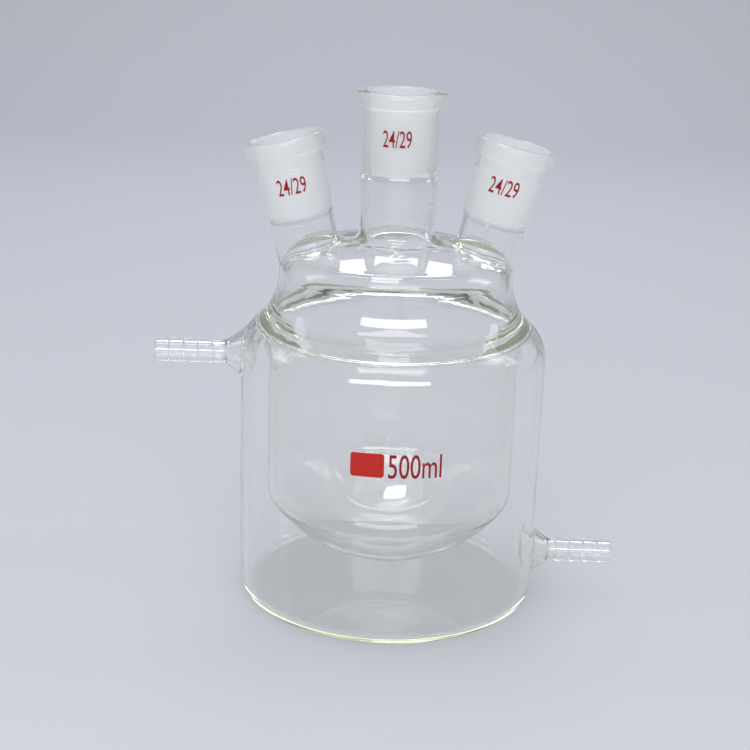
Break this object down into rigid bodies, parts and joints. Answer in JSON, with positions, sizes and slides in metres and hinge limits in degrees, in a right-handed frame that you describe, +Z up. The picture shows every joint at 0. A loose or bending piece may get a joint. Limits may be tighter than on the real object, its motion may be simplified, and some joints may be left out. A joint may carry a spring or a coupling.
{
  "type": "jacketed three neck flask",
  "caption": "Round-bottomed glass reaction vessel fused into a cylindrical glass jacket, with upright and leaning ground sockets and barbed hose connections.",
  "frame": {"origin": "centre of the flat base on the table, on the vessel's own axis", "axes": "+Z up along the vessel and the centre neck; +X towards the lower hose connection, -X towards the upper one; the side necks lean to +X and -X; +Y to the back"},
  "size_m": [0.181, 0.1166, 0.197],
  "materials": {
    "glass": "clear borosilicate glass, frosted inside the ground sockets"
  },
  "bodies": {
    "root": {"flask": "glass"}
  },
  "joints": []
}
